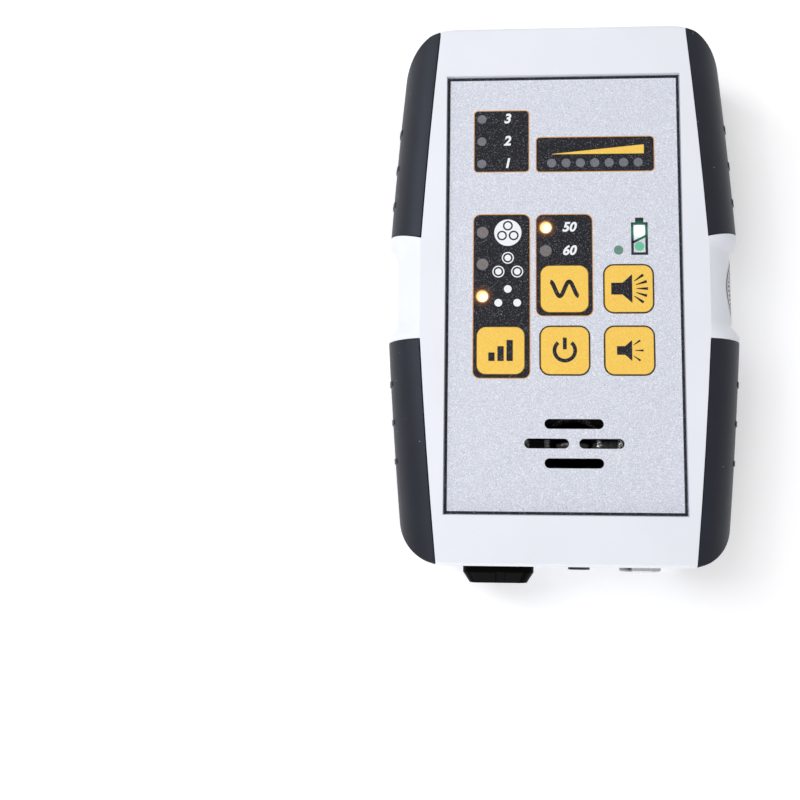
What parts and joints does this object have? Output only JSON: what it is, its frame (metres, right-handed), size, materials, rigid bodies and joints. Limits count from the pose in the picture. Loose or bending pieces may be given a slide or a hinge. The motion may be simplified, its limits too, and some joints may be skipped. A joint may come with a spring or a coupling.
{
  "type": "cable identifier receiver",
  "caption": "Hand-held cable identifier receiver: white two-shell case with black corner grips, silver keypad with yellow keys and lamps, speaker slots, sockets and battery door.",
  "frame": {"origin": "middle of the rear face, halfway along the case and on its middle line", "axes": "+X to the right of someone reading the face, +Y towards the upper end, +Z out of the face"},
  "size_m": [0.091, 0.1444, 0.03],
  "materials": {
    "case_white": "fine moulded texture",
    "grip_rubber": "soft satin",
    "seal_paper": "printed label",
    "overlay_silver": "sparkling silver print under a matt film",
    "key_yellow": "printed film",
    "window_clear": "smoky clear film",
    "led_clear": "clear dome",
    "board_green": "solder mask",
    "screw_steel": "zinc plated",
    "switch_black": "moulded",
    "chip_black": "moulded",
    "capacitor_sleeve": "shrink sleeve",
    "gasket_foam": "foam",
    "speaker_steel": "pressed",
    "cone_film": "film",
    "magnet_plate": "plated cap",
    "lead_sleeve": "satin sleeve",
    "cell_can": "plain wrapped can",
    "spring_steel": "nickel plated",
    "socket_black": "polished moulding",
    "contact_brass": "gold flash",
    "nut_chrome": "bright plating"
  },
  "bodies": {
    "case": {"front_shell": "case_white", "rear_shell": "case_white", "end_panel_upper": "case_white", "end_panel_lower": "case_white", "grip_upper_left": "grip_rubber", "grip_upper_right": "grip_rubber", "grip_lower_left": "grip_rubber", "grip_lower_right": "grip_rubber", "seal_label": "seal_paper", "membrane_overlay": "overlay_silver", "main_board": "board_green", "board_screws": "screw_steel", "case_screws": "screw_steel", "key_switches": "switch_black", "controller_chip": "chip_black", "amplifier_chip": "chip_black", "board_capacitors": "capacitor_sleeve", "speaker_gasket": "gasket_foam", "speaker_frame": "speaker_steel", "speaker_cone": "cone_film", "speaker_magnet": "magnet_plate", "speaker_leads": "lead_sleeve", "battery_cells": "cell_can", "battery_contacts": "spring_steel", "socket_bezel": "socket_black", "socket_nut": "screw_steel", "socket_insert": "switch_black", "socket_contacts": "contact_brass", "jack_body": "switch_black", "jack_nut": "nut_chrome", "charge_socket": "switch_black", "charge_pin": "nut_chrome", "socket_lead": "lead_sleeve", "jack_lead": "lead_sleeve", "charge_lead": "lead_sleeve", "gain_windows": "window_clear", "gain_leds": "led_clear", "level_windows": "window_clear", "level_leds": "led_clear", "mode_windows": "window_clear", "mode_leds": "led_clear", "frequency_windows": "window_clear", "frequency_leds": "led_clear", "battery_windows": "window_clear", "battery_leds": "led_clear"},
    "frequency_key": {"key_frequency": "key_yellow", "plunger_frequency": "switch_black"},
    "volume_up_key": {"key_volume_up": "key_yellow", "plunger_volume_up": "switch_black"},
    "gain_mode_key": {"key_gain_mode": "key_yellow", "plunger_gain_mode": "switch_black"},
    "power_key": {"key_power": "key_yellow", "plunger_power": "switch_black"},
    "volume_down_key": {"key_volume_down": "key_yellow", "plunger_volume_down": "switch_black"},
    "door": {"battery_door": "case_white"}
  },
  "joints": [
    {"name": "frequency_press", "type": "slide", "parent": "case", "child": "frequency_key", "axis": [0, 0, -1], "range_m": [0, 0.0004], "stiffness_N_per_m": 5000},
    {"name": "volume_up_press", "type": "slide", "parent": "case", "child": "volume_up_key", "axis": [0, 0, -1], "range_m": [0, 0.0004], "stiffness_N_per_m": 5000},
    {"name": "gain_mode_press", "type": "slide", "parent": "case", "child": "gain_mode_key", "axis": [0, 0, -1], "range_m": [0, 0.0004], "stiffness_N_per_m": 5000},
    {"name": "power_press", "type": "slide", "parent": "case", "child": "power_key", "axis": [0, 0, -1], "range_m": [0, 0.0004], "stiffness_N_per_m": 5000},
    {"name": "volume_down_press", "type": "slide", "parent": "case", "child": "volume_down_key", "axis": [0, 0, -1], "range_m": [0, 0.0004], "stiffness_N_per_m": 5000},
    {"name": "door_slide", "type": "slide", "parent": "case", "child": "door", "axis": [0, 1, 0], "range_m": [0, 0.06]}
  ]
}
